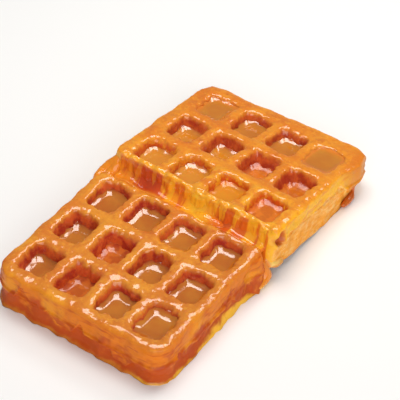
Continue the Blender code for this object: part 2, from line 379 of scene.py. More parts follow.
def new_geometry_tree(name, inputs):
    """A geometry tree with named inputs, each of the kind of its value, and the inputs as attributes."""
    tree = bpy.data.node_groups.new(name, "GeometryNodeTree")
    for way in ("INPUT", "OUTPUT"):
        tree.interface.new_socket("Geometry", in_out=way, socket_type="NodeSocketGeometry")
    for label, value in inputs.items():
        socket = tree.interface.new_socket(label, in_out="INPUT", socket_type=SOCKET_KINDS[type(value)])
        if value is not None:
            socket.default_value = value
    entry = tree.nodes.new("NodeGroupInput")
    names = {item.name.lower().replace(" ", "_"): Wire(tree, item) for item in entry.outputs if item.name}
    return tree, SimpleNamespace(**names)


def added(name, data):
    """Adds an object to the scene."""
    item = bpy.data.objects.new(name, data)
    bpy.context.scene.collection.objects.link(item)
    return item


def grown(name, tree, values, start=None):
    """The plain mesh object that a geometry tree makes."""
    maker = added(f"{name}_maker", start or bpy.data.meshes.new(f"{name}_start"))
    modifier = maker.modifiers.new("shape", "NODES")
    modifier.node_group = tree
    sockets = {item.name: item.identifier for item in tree.interface.items_tree if item.in_out == "INPUT"}
    for label, value in values.items():
        modifier[sockets[label]] = value
    bpy.context.view_layer.update()
    shaped = maker.evaluated_get(bpy.context.evaluated_depsgraph_get())
    mesh = bpy.data.meshes.new_from_object(shaped)
    maker.modifiers.clear()
    bpy.data.objects.remove(maker, do_unlink=True)
    mesh.name = name
    return added(name, mesh)


def rounded_place(x, y, half_x, half_y, corner):
    """Moves a point of a sharp rectangle onto one with round corners."""
    core_x = half_x - corner
    core_y = half_y - corner
    near_x = x.within(core_x)
    near_y = y.within(core_y)
    off_x = x - near_x
    off_y = y - near_y
    share = corner / length_of(off_x, off_y).most(1e-9)
    return near_x + off_x * share, near_y + off_y * share


def block_of(tree, across, along, levels):
    """A block one unit wide, with a number of points each way."""
    inputs = {"Size": (1.0, 1.0, 1.0), "Vertices X": across, "Vertices Y": along, "Vertices Z": levels}
    return Wire.of(tree, "GeometryNodeMeshCube", None, inputs)


def stored(tree, geometry, name, value, kind="FLOAT"):
    """Keeps a value on a mesh's points under a name."""
    settings = {"data_type": kind, "domain": "POINT"}
    return Wire.of(tree, "GeometryNodeStoreNamedAttribute", settings,
                   {"Geometry": geometry, "Name": name, "Value": value})


def read_kept(tree, name, kind="FLOAT"):
    """Reads a value that is kept on the points."""
    return Wire.of(tree, "GeometryNodeInputNamedAttribute", {"data_type": kind}, {"Name": name})


def close_tree(tree, given, geometry):
    """Shades the mesh smooth and colours it."""
    smooth = Wire.of(tree, "GeometryNodeSetShadeSmooth", None, {"Geometry": geometry, "Shade Smooth": True})
    finished = Wire.of(tree, "GeometryNodeSetMaterial", None,
                       {"Geometry": smooth, "Material": given.material})
    Wire.node(tree, "NodeGroupOutput", None, {"Geometry": finished})


def finish_tree(tree, given, geometry, marks, position):
    """Keeps marks on the points, moves them, and places and colours the mesh."""
    for label, value in marks.items():
        geometry = stored(tree, geometry, label, value)
    shaped = Wire.of(tree, "GeometryNodeSetPosition", None, {"Geometry": geometry, "Position": position})
    placed = Wire.of(tree, "GeometryNodeTransform", None,
                     {"Geometry": shaped, "Translation": given.place, "Rotation": given.turn})
    close_tree(tree, given, placed)


def cell_places(place, count, pitch):
    """Place in the cell from -1 to 1, and the cell's centre."""
    run = (place + 0.5) * count
    number = run.maths("FLOOR").least(count - 1.0).most(0.0)
    inside = (run - number) * 2.0 - 1.0
    return inside, (number + 0.5 - count * 0.5) * pitch


def pocket_places(tree, given, x, y, on_under):
    """Rings round each pocket, with round corners, narrower where glaze has run over the rim in tongues."""
    in_x, centre_x = cell_places(x, given.columns, given.pitch_across)
    in_y, centre_y = cell_places(y, given.rows, given.pitch_along)
    ring = abs(in_x).most(abs(in_y)).least(1.0)
    width = on_under.choose(ring.curve(UPPER_RING), ring.curve(UNDER_RING))
    corner = ring.curve(CORNER_ROUND) * given.pitch_across * 0.5
    half_x = width * given.pitch_across * 0.5
    half_y = width * given.pitch_along * 0.5
    sharp_x = in_x / ring.most(1e-4) * half_x
    sharp_y = in_y / ring.most(1e-4) * half_y
    round_x, round_y = rounded_place(sharp_x, sharp_y, half_x, half_y, corner.least(half_x * 0.9))
    spot = join_parts(tree, centre_x + round_x + given.seed, centre_y + round_y, on_under * 0.1)
    on_wall = ring.band(0.26, 0.50, 0.80, 0.97) * (1.0 - on_under * 0.6)
    inward = (cloud(spot, 4.2, 1.5) - 0.5) * given.fringe * 2.6 * on_wall
    share = 1.0 - inward / length_of(round_x, round_y).most(1e-6)
    return ring, centre_x + round_x * share, centre_y + round_y * share


def glaze_lip(given, around, down, at_lobe, at_corner):
    """How far a point of the side lies above the glaze's uneven end, and how thick the glaze is there."""
    uneven = (cloud(around, 15, 0.0) - 0.5) * 2.2 + (cloud(around, 7, 0.0) - 0.5) * 1.2
    reach = given.glaze_reach + uneven * given.reach_spread
    reach = reach + at_lobe * given.lobe.above(0.0) * 0.6
    reach = reach + at_corner * given.corner_lobe.above(0.0) * 0.35
    to_lip = reach - down
    return to_lip, to_lip.rise(0.0, 0.045) * (1.6 - to_lip.rise(0.03, 0.16) * 0.6)


def gap_places(given, flat_y, side_height, at_right):
    """Relief of the small hole in the side near the cut and of its rim, and where the hole is."""
    off_y = (flat_y - given.gap_along) / (4.2 * MM)
    off_z = (side_height - given.gap_height) / (4.8 * MM)
    off = length_of(off_y, off_z)
    relief = (off.band(0.7, 1.1, 1.2, 1.7) * 0.35 - off.fall(0.55, 1.0)) * at_right * given.gap_depth
    return relief, off.fall(0.80, 1.15) * at_right * given.gap_depth.above(0.0)


def round_corners(given, half_x, half_y, x, y):
    """Rounds the two corners away from the cut."""
    corner_x = half_x - given.corner_radius
    corner_y = half_y - given.corner_radius
    ahead = -(y * given.cut_side)
    over_x = (abs(x) - corner_x).most(0.0)
    over_y = (ahead - corner_y).most(0.0)
    share = over_x.most(over_y) / length_of(over_x, over_y).most(1e-9)
    return (x.maths("SIGN") * (abs(x).least(corner_x) + over_x * share),
            -(ahead.least(corner_y) + over_y * share) * given.cut_side)


def round_brink(given, half_along, to_cut, body_y, side_drop, on_top, at_cut):
    """Rounds off the top edge of the cut, as glaze does, and gives a point's place along and its height."""
    bend = given.cut_round
    thick = given.thickness
    top_angle = (1.0 - to_cut / bend).most(0.0) * on_top
    face_angle = (1.0 - side_drop * thick / bend).most(0.0) * at_cut * (1.0 - on_top)
    eighth = math.pi / 4
    angle = on_top.choose(math.pi / 2 - face_angle * eighth, top_angle * eighth)
    rounds = top_angle.most(face_angle).above(0.0)
    inset = (1.0 - angle.maths("SINE")) * bend
    edge_drop = (1.0 - angle.maths("COSINE")) * bend
    return (rounds.choose(body_y, (half_along - inset) * given.cut_side),
            rounds.choose(thick * (1.0 - side_drop), thick - edge_drop))


def half_tree():
    """Tree that shapes a block into half a waffle, with the marks that its colours read."""
    tree, given = new_geometry_tree("waffle_half", {
        "Steps In Cell": STEPS_IN_CELL, "Columns": COLUMNS, "Rows": ROWS, "Pitch Across": PITCH_ACROSS,
        "Pitch Along": PITCH_ALONG, "Thickness": THICKNESS, "Pocket Depth": POCKET_DEPTH,
        "Under Depth": UNDER_DEPTH, "Ledge Out": LEDGE_OUT, "Corner Radius": CORNER_RADIUS,
        "Wobble": WOBBLE, "Fringe": FRINGE, "Glaze Thick": GLAZE_THICK, "Run Relief": RUN_RELIEF,
        "Stroke": 0.8 * MM, "Gap Along": -39.6 * MM, "Gap Height": 16.8 * MM, "Gap Depth": 0.0,
        "End Round": 2.2 * MM, "Cut Side": 1.0, "Cut Round": 2.4 * MM, "Brink": 1.0 * MM,
        "Glaze Reach": 0.5, "Reach Spread": 0.5, "Foot": 4.0 * MM, "Lobe": 0.0, "Corner Lobe": 0.0,
        "Sag": 0.0, "Tilt": 0.0, "Seed": 0.0, **PLACED,
    })
    cut_side = given.cut_side
    steps = given.steps_in_cell
    block = block_of(tree, given.columns * steps + 1.0, given.rows * steps + 1.0, SIDE_LEVELS)
    x, y, z = parts_of(Wire.of(tree, "GeometryNodeInputPosition"))
    on_top = z.above(FACE)
    on_under = (-z).above(FACE)
    at_cut = (y * cut_side).above(FACE)
    at_right = x.above(0.0)
    down = 0.5 - z
    half_across = given.columns * given.pitch_across * 0.5
    half_along = given.rows * given.pitch_along * 0.5
    ring, flat_x, flat_y = pocket_places(tree, given, x, y, on_under)

    # Where glaze has gathered in lobes: near the cut, at the far right corner and on the left side
    to_end = half_along - flat_y * cut_side
    to_far = half_along + flat_y * cut_side
    to_right = half_across - flat_x
    at_lobe = abs(to_end - 6.0 * MM).fall(1.0 * MM, 8.5 * MM) * at_right
    at_corner = to_far.fall(2 * MM, 26 * MM) * to_right.fall(0.0, 90 * MM)
    at_left = to_right.rise(88 * MM, 98 * MM) * to_end.rise(0.0, 6 * MM)

    # The side has a ledge with glaze over it, brushed strokes, a foot of glaze, a hole and a round end
    seeded_x = flat_x + given.seed
    around = join_parts(tree, seeded_x, flat_y, 0.0)
    to_lip, lip = glaze_lip(given, around, down, at_lobe, at_corner)
    side_drop = down.curve(SIDE_LINE, DEEP)
    side_height = given.thickness * (1.0 - side_drop)
    stroke = cloud(join_parts(tree, seeded_x * 0.2, flat_y * 0.2, side_height), 3.2, 1.0) - 0.5
    stroke = stroke * 2.0 * given.stroke * down.band(0.03, 0.15, 0.90, 1.0)
    foot = down.curve(FOOT_SPREAD) * given.foot * (0.55 + cloud(around, 9, 1.0) * 0.9)
    gap_relief, gap = gap_places(given, flat_y, side_height, at_right)
    out = down.curve(SIDE_LINE) * given.ledge_out + lip * down.rise(0.03, 0.14) * given.glaze_thick
    out = out + stroke + foot + gap_relief
    out = out + at_lobe * down.rise(0.04, 0.45) * (1.0 - down.rise(0.75, 1.0) * 0.5) * given.lobe
    end = (1.0 - to_end / given.end_round).most(0.0)
    out = out * (1.0 - end * end).most(0.0).maths("SQRT")

    # The sides stand out from the pockets, further at the lobes, and glaze runs down the cut face
    shoulder = down.band(0.0, 0.12, 0.45, 0.75) * given.corner_lobe
    side_x = out + (at_corner * 0.45 + at_left * 0.5) * shoulder
    runs = cloud(join_parts(tree, seeded_x, 0.0, down * 2.4 * MM), 5.0, 1.0)
    cut_out = down.band(0.05, 0.20, 0.90, 1.0) * (runs - 0.40).most(0.0) * 5.0 * given.run_relief
    side_y = at_cut.choose(out + (at_corner * 0.75 + 0.25) * shoulder, cut_out)
    wide_x = flat_x + x.maths("SIGN") * abs(x).above(FACE) * side_x
    wide_y = flat_y + y.maths("SIGN") * abs(y).above(FACE) * side_y
    body_x, body_y = round_corners(given, half_across, half_along, wide_x, wide_y)
    to_cut = half_along - body_y * cut_side
    body_y, height = round_brink(given, half_along, to_cut, body_y, side_drop, on_top, at_cut)
    sunk = ring.curve(UPPER_RING, DEEP) * on_top
    raised = ring.curve(UNDER_RING, DEEP) * on_under
    height = height - sunk * given.pocket_depth + raised * given.under_depth

    # Uneven batter has slow waves and small lumps, and glaze stands in beads along the brink
    seeded = join_parts(tree, body_x + given.seed, body_y, height)
    slow = parts_of(cloud(seeded, SLOW_WAVE, 1.5, 0.5, "Color"))
    fine = parts_of(cloud(seeded, 3.2, 2.0, 0.55, "Color"))
    off_ground = height.rise(0.2 * MM, 4.0 * MM)
    move_x = (slow[0] - 0.5) * given.wobble * 2.4 + (fine[0] - 0.5) * 0.5 * MM
    move_y = (slow[1] - 0.5) * given.wobble * 2.4 + (fine[1] - 0.5) * 0.5 * MM
    crest = ((slow[2] - 0.58) * 2.0 * MM + (fine[2] - 0.5) * 0.80 * MM).least(0.1 * MM)
    brink = to_cut.fall(0.5 * MM, 6.0 * MM) * on_top.most(at_cut * down.fall(0.04, 0.20))
    along_brink = join_parts(tree, body_x + given.seed, 0.0, 0.0)
    bulge = (cloud(along_brink, 7.0, 0.0).rise(0.36, 0.62) - 0.45) * brink * given.brink
    moved_x = body_x + move_x * off_ground
    moved_y = body_y + move_y * (1.0 - at_cut * 0.8) * off_ground + bulge * cut_side * 0.6

    # The right side of a raised half sags towards the ground, which a tilted half meets at its far edge
    ground = (-(moved_y * cut_side) - half_along - SHOULDER_OUT) * given.tilt.maths("TANGENT")
    at_side = (body_x - half_across).rise(-2.0 * MM, 3.0 * MM)
    sag = at_side * height.fall(1.0 * MM, 12.0 * MM) * to_cut.rise(4 * MM, 14 * MM) * given.sag
    moved_z = (height + crest * height.rise(0.2 * MM, 20.0 * MM) + bulge - sag).most(ground)
    marks = {"sunk": sunk, "down": down, "cut": at_cut, "under": on_under, "hollow": raised,
             "lip": to_lip, "gap": gap, "end": end, "brink": brink}
    finish_tree(tree, given, block, marks, join_parts(tree, moved_x, moved_y, moved_z))
    return tree


def pool_tree():
    """Tree that sets one shallow block in each pocket and shapes it into a pool of caramel."""
    tree, given = new_geometry_tree("caramel_pools", {
        "Meniscus": 2.4 * MM, "Wobble": WOBBLE, "Seed": 0.0, **PLACED,
    })
    block = block_of(tree, POOL_STEPS, POOL_STEPS, POOL_LEVELS)
    kept = stored(tree, block, "block", Wire.of(tree, "GeometryNodeInputPosition"), "FLOAT_VECTOR")
    copies = Wire.of(tree, "GeometryNodeInstanceOnPoints", None,
                     {"Points": given.geometry, "Instance": kept})
    real = Wire.of(tree, "GeometryNodeRealizeInstances", None, {"Geometry": copies})
    x, y, z = parts_of(read_kept(tree, "block", "FLOAT_VECTOR"))
    centre_x, centre_y, level = parts_of(read_kept(tree, "centre", "FLOAT_VECTOR"))
    half_x, half_y, bottom = parts_of(read_kept(tree, "extent", "FLOAT_VECTOR"))
    ring = (abs(x).most(abs(y)) * 2.0).least(1.0)
    corner = (ring * POOL_CORNER).least(ring * half_x * 0.9)
    sharp_x = x * 2.0 * half_x
    sharp_y = y * 2.0 * half_y
    flat_x, flat_y = rounded_place(sharp_x, sharp_y, ring * half_x, ring * half_y, corner)
    in_x = centre_x + flat_x
    in_y = centre_y + flat_y
    seeded = join_parts(tree, in_x + given.seed, in_y, level)
    swing = parts_of(cloud(seeded, SLOW_WAVE, 1.5, 0.5, "Color"))
    in_x = in_x + (swing[0] - 0.5) * given.wobble * 2.4
    in_y = in_y + (swing[1] - 0.5) * given.wobble * 2.4
    uneven = 0.7 + cloud(join_parts(tree, in_x, in_y, level), 9.0, 1.0) * 0.6
    climb = (1.0 - (1.0 - ring) * half_x / MENISCUS_WIDTH).curve(MENISCUS_RISE)
    shallow = (THICKNESS - level - 0.7 * MM).most(0.2 * MM) * 0.85
    surface = level + climb * (given.meniscus * uneven).least(shallow)
    spot = join_parts(tree, in_x, in_y, (z + 0.5).choose(bottom, surface))
    marks = {"shore": climb * z.above(FACE), "red": read_kept(tree, "red")}
    finish_tree(tree, given, real, marks, spot)
    return tree


def join_tree():
    """Tree that shapes a block into the caramel that lies in the cut and climbs the raised rear face."""
    tree, given = new_geometry_tree("caramel_in_cut", {
        "Front Y": 0.0, "Front Slope": 0.0, "Rear Y": 0.0, "Rear Slope": 0.0, "Rear Lean": 0.0,
        "Climb": JOIN_CLIMB, "Root Depth": JOIN_ROOT_DEPTH, "Lap": JOIN_LAP, **PLACED,
    })
    block = block_of(tree, JOIN_STEPS, JOIN_ROWS, JOIN_LEVELS)
    along, across, level = parts_of(Wire.of(tree, "GeometryNodeInputPosition"))
    along = along + 0.5
    across = across + 0.5
    x = JOIN_LEFT + along * (JOIN_RIGHT - JOIN_LEFT)
    line = join_parts(tree, x, 0.0, 0.0)
    size = along.curve(JOIN_SIZE) + (cloud(line, 9, 1.0) - 0.5) * 0.3
    tongue = (cloud(line, 9, 0.0) - 0.5) * 2.4
    climb = given.climb * size * (1.0 + tongue).most(0.5)
    lap = given.lap * size * (0.7 + cloud(line, 6, 1.0) * 0.8)
    front = given.front_y + given.front_slope * x
    rear_low = given.rear_y + given.rear_slope * x
    near = front - lap
    far = rear_low + given.rear_lean * climb + 0.5 * MM
    y = near + across * (far - near)
    trough = (across * math.pi).maths("SINE") * (cloud(line, 12, 0.0) - 0.30) * 7.0 * MM
    near_edge = across.fall(0.0, 0.16) * 1.6 * MM
    top = THICKNESS + 0.1 * MM + climb * across.maths("POWER", 4.0) - trough - near_edge
    past_edge = (y - front).rise(-0.3 * MM, 0.8 * MM)
    bottom = THICKNESS - 2.4 * MM - past_edge * given.root_depth * size
    height = bottom + (level + 0.5) * (top - bottom)
    ends = along.band(0.0, 0.03, 0.97, 1.0)
    middle = THICKNESS - 2.6 * MM
    spot = join_parts(tree, x, y, middle + (height - middle) * ends.most(0.02))
    finish_tree(tree, given, block, {"shore": across}, spot)
    return tree


def drip_tree():
    """Tree that turns points with radii into smooth drips."""
    tree, given = new_geometry_tree("glaze_drips", {"Voxel": DRIP_VOXEL, "Material": None})
    radius = read_kept(tree, "thick")
    points = Wire.of(tree, "GeometryNodeMeshToPoints", None, {"Mesh": given.geometry, "Radius": radius})
    by_voxel = {"resolution_mode": "VOXEL_SIZE"}
    fog = Wire.of(tree, "GeometryNodePointsToVolume", by_voxel,
                  {"Points": points, "Voxel Size": given.voxel, "Radius": radius})
    skin = Wire.of(tree, "GeometryNodeVolumeToMesh", by_voxel,
                   {"Volume": fog, "Voxel Size": given.voxel, "Threshold": 0.1})
    close_tree(tree, given, skin)
    return tree


def new_material(name):
    """An empty node material with its shader."""
    material = bpy.data.materials.new(name)
    material.use_nodes = True
    tree = material.node_tree
    return material, tree, tree.nodes["Principled BSDF"]


class Look:
    """A material's nodes: where a point lies in millimetres, its marks, and how colours mix there."""

    def __init__(self, name):
        self.material, self.tree, self.shader = new_material(name)
        self.place = Wire.of(self.tree, "ShaderNodeTexCoord", output="Object")
        self.x, self.y, self.z = [part / MM for part in parts_of(self.place)]

    def mark(self, name):
        """A value kept on the mesh's points."""
        return Wire.of(self.tree, "ShaderNodeAttribute", {"attribute_name": name}, output="Fac")

    def lumps(self, size, detail=2.0, rough=0.5):
        """Noise whose lumps have about a given size."""
        return cloud(self.place, size, detail, rough)

    def streaks(self, size, part_x, part_y, part_z, detail=2.0, rough=0.55):
        """Noise drawn out along each axis that counts in part."""
        spot = join_parts(self.tree, self.x * part_x * MM, self.y * part_y * MM, self.z * part_z * MM)
        return cloud(spot, size, detail, rough)

    def mix(self, factor, first, second):
        """Mixes two colours."""
        made = Wire.node(self.tree, "ShaderNodeMix", {"data_type": "RGBA"})
        colours = [(*value, 1.0) if isinstance(value, tuple) else value for value in (first, second)]
        Wire.fill(made, {0: factor, 6: colours[0], 7: colours[1]})
        return Wire(self.tree, made.outputs[2])

    def layers(self, colour, *layers):
        """Lays colours over a first one, each by its share."""
        for share, layer in layers:
            colour = self.mix(share, colour, layer)
        return colour

    def bump(self, strength, distance, height):
        """Fine relief for the shader's normal."""
        inputs = {"Strength": strength, "Distance": distance * MM, "Height": height}
        return Wire.of(self.tree, "ShaderNodeBump", None, inputs)

    def at_rear(self):
        """0 on the front half, 1 on the rear half."""
        return self.y.rise(-4, 4)

    def first_row(self):
        """1 on the row of pockets just behind the cut."""
        return self.at_rear() * self.y.fall(28, 35)

    def cut_colours(self, patch):
        """Colours of the glazed cut along the width: dark, then streaks, yellow, dark and orange."""
        streak = self.streaks(4.6, 1.0, 0.15, 0.15, 2.0, 0.5)
        fine = self.streaks(1.3, 1.0, 0.15, 0.15, 2.0, 0.5)
        across = (self.x + (patch - 0.5) * 9) / CUT_WIDTH + 0.5
        base = Wire.of(self.tree, "ShaderNodeValToRGB", {"stops": CUT_TONES}, {"Fac": across})
        mixed = streak + (fine - 0.5) * 0.2
        middle = across.rise(0.30, 0.38)
        dark = self.mix(middle, (0.60, 0.070, 0.014), (0.74, 0.120, 0.012))
        calm = across.band(0.46, 0.51, 0.60, 0.65)
        return self.layers(
            base,
            (mixed.rise(0.52, 0.58) * (0.30 + middle * 0.5), (0.99, 0.440, 0.020)),
            (mixed.fall(0.42, 0.48) * (0.5 + middle * 0.3 - calm * 0.6), dark),
        )

    def finish(self, inputs):
        """Gives the shader its inputs, over what all the glazed surfaces share."""
        Wire.fill(self.shader, {**GLAZED, **inputs})
        return self.material


class CrustLook(Look):
    """The colours of the waffle's ribs, pockets, sides, cut and underside."""

    def __init__(self):
        super().__init__("glazed_crust")
        self.down = self.mark("down")
        self.lip = self.mark("lip")
        self.brink = self.mark("brink")
        self.broad = self.lumps(22)
        self.patch = self.lumps(6.5, 3.0, 0.6)
        self.blotch = self.lumps(9, 2.0, 0.55)
        self.band = self.down + (self.patch - 0.5) * 0.16
        self.glazed = self.lip.rise(0.0, 0.045)
        self.rear = self.at_rear()
        self.near_cut = self.first_row() * (0.5 + self.x.rise(-20, 14) * 0.5)

    def ribs(self):
        """Orange ribs: darker to the right in front as painted shade, richer at the rear, yellow near the
        cut, freckled.
        """
        wide = self.broad.rise(0.35, 0.65)
        freckle = self.lumps(2.6, 3.0, 0.6)
        rich = self.mix(wide, (0.72, 0.195, 0.016), (0.80, 0.275, 0.020))
        return self.layers(
            self.mix(wide, (0.68, 0.198, 0.022), (0.76, 0.280, 0.026)),
            # Painted shade: the front ribs darken towards the right, where the fill lamp lights them more
            (self.x.rise(5, 50) * 0.40, (0.60, 0.170, 0.022)),
            (self.rear, self.mix(self.x.rise(5, 45) * 0.4, rich, (0.86, 0.310, 0.016))),
            (self.patch.rise(0.55, 0.74) * 0.7, (0.57, 0.135, 0.016)),
            ((self.near_cut * self.patch.rise(0.40, 0.60)).most(self.brink * self.rear) * 0.8,
             (0.94, 0.42, 0.022)),
            (freckle.rise(0.54, 0.64) * 0.32, (0.94, 0.41, 0.040)),
            (freckle.fall(0.36, 0.45) * 0.24, (0.56, 0.120, 0.014)),
        )

    def pocket_walls(self):
        """Red-brown walls of the pockets, brighter in the rear half's first row."""
        return self.layers(
            self.mix(self.patch.rise(0.38, 0.60), (0.46, 0.038, 0.022), (0.72, 0.130, 0.032)),
            (self.first_row() * 0.30 + self.rear * 0.12, (0.76, 0.230, 0.040)),
            (self.near_cut,
             self.mix(self.patch.rise(0.48, 0.60), (0.72, 0.110, 0.014), (0.95, 0.42, 0.022))),
        )

    def top(self, rib):
        """Ribs and pocket walls, which meet in small runs."""
        run = self.streaks(2.6, 1.0, 1.0, 0.15)
        wall_share = (self.mark("sunk") + (run - 0.5) * 0.30).rise(0.02, 0.32)
        return self.mix(wall_share, rib, self.pocket_walls())

    def side_glaze(self, rib, sweep):
        """Glaze on the sides: like the ribs at the shoulder, in warm brushed streaks below."""
        warm = self.mix(self.rear, (0.75, 0.195, 0.010), (0.97, 0.46, 0.014))
        deep = self.mix(self.rear, (0.52, 0.075, 0.008), (0.88, 0.28, 0.010))
        warm = self.mix(sweep.rise(0.50, 0.64) * 0.8, warm, deep)
        return self.mix(self.band.rise(0.06, 0.22), rib, warm)

    def bare_batter(self, sweep):
        """Yellow crumbly batter that the glaze leaves bare on the rear half, browner round the back, with
        painted glints in pale flecks.
        """
        crumb_and_glints = self.streaks(2.2, 0.5, 0.5, 1.0, 3.0, 0.65)
        hidden = self.x.fall(20, 40).most(self.y.rise(80, 90)) * 0.7
        return self.layers(
            self.mix(sweep.rise(0.48, 0.62) * 0.7, (0.94, 0.42, 0.070), (0.92, 0.34, 0.020)),
            # Pale flecks of the crumb are painted glints; the darker flecks are the batter's own tone
            (crumb_and_glints.rise(0.52, 0.62) * 0.55, (1.0, 0.64, 0.24)),
            (crumb_and_glints.fall(0.36, 0.44) * 0.55, (0.80, 0.260, 0.018)),
            (hidden * self.broad.rise(0.40, 0.62), (0.74, 0.230, 0.018)),
        )

    def rear_side(self, sweep, glaze):
        """Side of the rear half: glaze that ends in a pale lip over bare batter, with painted shade on the
        far corner.
        """
        # Painted shade on the glaze of the far right corner's sloping side
        far_corner_shade = self.y.rise(66, 84) * self.x.rise(46, 54) * self.glazed
        on_lip = self.lip.band(-0.030, 0.0, 0.010, 0.040)
        return self.layers(
            self.bare_batter(sweep),
            (self.glazed, glaze),
            (on_lip * self.patch.rise(0.35, 0.55) * 0.7, (1.0, 0.66, 0.20)),
            (far_corner_shade * 0.75, (0.70, 0.185, 0.014)),
        )

    def front_side(self, glaze):
        """Side of the front half: glazed all the way down, in red-brown blotches."""
        redness = (self.blotch + (self.down - 0.45) * 0.55).rise(0.38, 0.64) * self.band.rise(0.10, 0.30)
        return self.layers(
            glaze,
            (self.broad.rise(0.50, 0.64) * 0.6, (0.86, 0.34, 0.020)),
            (redness * 0.9, (0.50, 0.065, 0.010)),
        )

    def side(self, rib):
        """Both sides, with the paler foot of set glaze, painted shade in the small hole near the cut, and
        the cut face.
        """
        sweep = self.streaks(3.2, 0.2, 0.2, 1.0)
        glaze = self.side_glaze(rib, sweep)
        foot = self.mix(self.rear, (0.98, 0.52, 0.045), (0.84, 0.30, 0.030))
        wide_foot = self.y.band(-66, -46, -26, -12) * 0.10
        foot_share = (self.band + (self.blotch - 0.5) * 0.3 + wide_foot).rise(0.84, 0.97)
        at_end = self.mark("end").rise(0.1, 0.7) * self.rear * self.x.above(0.0)
        face = self.mix(self.brink * 0.8, self.cut_colours(self.patch), (0.98, 0.43, 0.026))
        return self.layers(
            self.front_side(glaze),
            (self.rear, self.rear_side(sweep, glaze)),
            (foot_share * (0.30 + self.rear.most(self.x.rise(25, 48)) * 0.70), foot),
            (at_end * self.down.rise(0.15, 0.45), (0.95, 0.50, 0.030)),
            # Painted shade inside the small hole near the cut
            (self.mark("gap"), (0.56, 0.110, 0.012)),
            (self.mark("cut"), face),
        )

    def underside(self):
        """Dry browned batter, paler in its shallow pockets."""
        baked = self.mix(self.patch.rise(0.3, 0.7), (0.56, 0.235, 0.055), (0.40, 0.125, 0.025))
        return self.mix(self.mark("hollow").rise(0.05, 0.6), baked, (0.66, 0.34, 0.10))

    def dullness(self, under):
        """1 where the surface is dry, 0 where it is glazed and wet."""
        upright = self.down.rise(0.02, 0.17) * (1.0 - self.mark("cut"))
        gloss = self.glazed * self.rear.choose(0.08, 0.26) + self.down.rise(0.84, 0.92) * 0.4
        return under.most(upright * (0.90 - gloss))


def crust_material():
    """Browned batter under caramel glaze: orange ribs, red-brown pockets, streaked cut, dull underside."""
    look = CrustLook()
    rib = look.ribs()
    speck = look.lumps(1.6, 3.0, 0.6)
    under = look.mark("under")
    dull = look.dullness(under)
    return look.finish({
        "Base Color": look.layers(
            look.top(rib),
            (look.down.rise(0.002, 0.03), look.side(rib)),
            (under, look.underside()),
            (speck.rise(0.60, 0.75) * 0.35, (0.42, 0.08, 0.012)),
        ),
        "Roughness": 0.20 + dull * 0.34 + (speck - 0.5) * 0.16,
        "Normal": look.bump(0.5, 0.9, speck * 0.7 + look.patch * 0.9),
        "Coat Weight": 1.0 - dull * 0.85,
        "Coat Roughness": 0.13,
        "Subsurface Weight": 0.12,
    })


def caramel_material():
    """Glossy amber caramel: lighter at the rear, darker towards the walls, red-brown in deep pockets."""
    look = Look("caramel")
    shore = look.mark("shore")
    red = look.mark("red")
    fine = look.lumps(5.0)
    near_cut = look.first_row() * look.x.rise(-6, 6)
    brimming = look.y.rise(60, 64) * abs(look.x - 2).rise(23, 26)
    edge = look.mix(brimming, (0.52, 0.090, 0.008), (0.74, 0.210, 0.014))
    reddish = look.mix(fine.rise(0.40, 0.60), (0.50, 0.060, 0.014), (0.74, 0.160, 0.018))
    return look.finish({
        "Base Color": look.layers(
            look.mix(look.lumps(14).rise(0.35, 0.65), (0.50, 0.138, 0.008), (0.56, 0.188, 0.012)),
            (look.at_rear() * (0.55 - look.y.rise(45, 70) * 0.35), (0.84, 0.340, 0.018)),
            (near_cut * (fine * 0.6 + shore * 0.5).rise(0.30, 0.60) * 0.7, (0.80, 0.170, 0.014)),
            ((shore + brimming * 0.3).rise(0.35, 0.8), edge),
            (red * (0.55 + shore * 0.6), reddish),
        ),
        "Roughness": 0.16 + (fine - 0.5) * 0.06,
        "Normal": look.bump(0.05, 0.3, fine),
        "Coat Weight": 1.0 - near_cut.most(red) * 0.78,
        "Coat Roughness": 0.08,
        "Specular IOR Level": 0.3,
        "Subsurface Radius": (1.0, 0.4, 0.1),
        "Subsurface Scale": 2.5 * MM,
    })


def glaze_material():
    """Caramel that lies in the cut: orange to red-brown along it, wettest towards the right."""
    look = Look("running_glaze")
    patch = look.lumps(6.5, 3.0, 0.6)
    fine = look.lumps(1.8)
    wetness = (look.x + (patch - 0.5) * 10).rise(0.0, 8)
    towards_ribs = (look.mark("shore") + (patch - 0.5) * 0.4).fall(0.10, 0.50) * (1.0 - wetness)
    return look.finish({
        "Base Color": look.mix(towards_ribs, look.cut_colours(patch), (0.76, 0.235, 0.022)),
        "Roughness": 0.30 + (fine - 0.5) * 0.08,
        "Normal": look.bump(0.2, 0.4, fine),
        "Coat Weight": 0.45 + wetness * 0.55,
        "Specular IOR Level": 0.1,
    })


def drip_material():
    """Thick drips of glaze: orange on the cut, amber at the right corners, with a painted highlight on top
    and painted shade below on the drip under the raised edge, red-brown at the far end.
    """
    look = Look("thick_drips")
    patch = look.lumps(7, 1.0)
    # Painted light: the drip under the raised edge is pale on top as a highlight and olive-brown below as
    # shade
    under_edge = look.mix(look.z.rise(9.2, 11.4), (0.62, 0.240, 0.025), (0.98, 0.64, 0.170))
    cut_corner = look.mix(look.z.rise(1.0, 4.0), (0.95, 0.50, 0.030), (0.80, 0.245, 0.015))
    right = look.mix(look.y.rise(0.6, 2.2) * look.z.rise(6, 9), cut_corner, under_edge)
    return look.finish({
        "Base Color": look.layers(
            look.mix(look.x.rise(-40, -10), (0.82, 0.260, 0.016), (0.95, 0.400, 0.018)),
            (look.x.rise(10, 20), (0.78, 0.170, 0.014)),
            (look.x.rise(30, 40), right),
            (look.y.rise(60, 70), (0.56, 0.120, 0.010)),
            (patch.rise(0.52, 0.70) * 0.4, (0.80, 0.210, 0.012)),
        ),
        "Roughness": 0.16 + (patch - 0.5) * 0.08,
        "Coat Weight": 0.8,
    })


